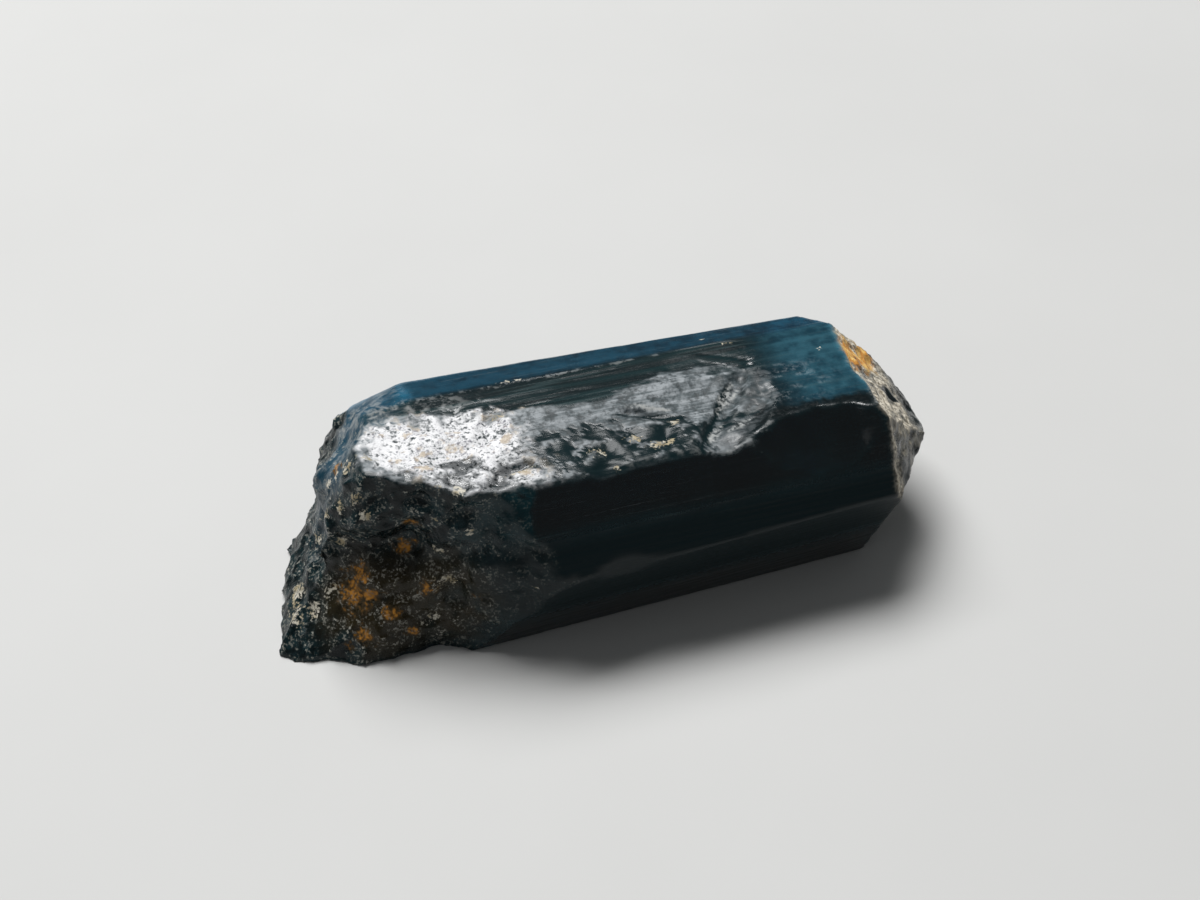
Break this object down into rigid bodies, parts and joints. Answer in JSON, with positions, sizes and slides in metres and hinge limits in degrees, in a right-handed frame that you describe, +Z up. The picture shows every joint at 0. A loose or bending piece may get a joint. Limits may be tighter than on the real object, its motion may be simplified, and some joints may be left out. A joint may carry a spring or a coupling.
{
  "type": "apatite crystal",
  "caption": "Single dark teal apatite crystal: a six-sided prism with one pyramid end and one rough broken end, lying on a prism face.",
  "frame": {"origin": "middle of the crystal's footprint, on the surface it lies on", "axes": "+X along the crystal's long axis towards the pyramid end, +Z up, -Y the side with the worn ridge and the stained break"},
  "size_m": [0.0246, 0.0106, 0.0071],
  "materials": {
    "apatite": "dark teal translucent crystal, glossy flat faces, frosted worn top, stained matt break, pale crust on the pyramid end"
  },
  "bodies": {
    "root": {"crystal": "apatite"}
  },
  "joints": []
}
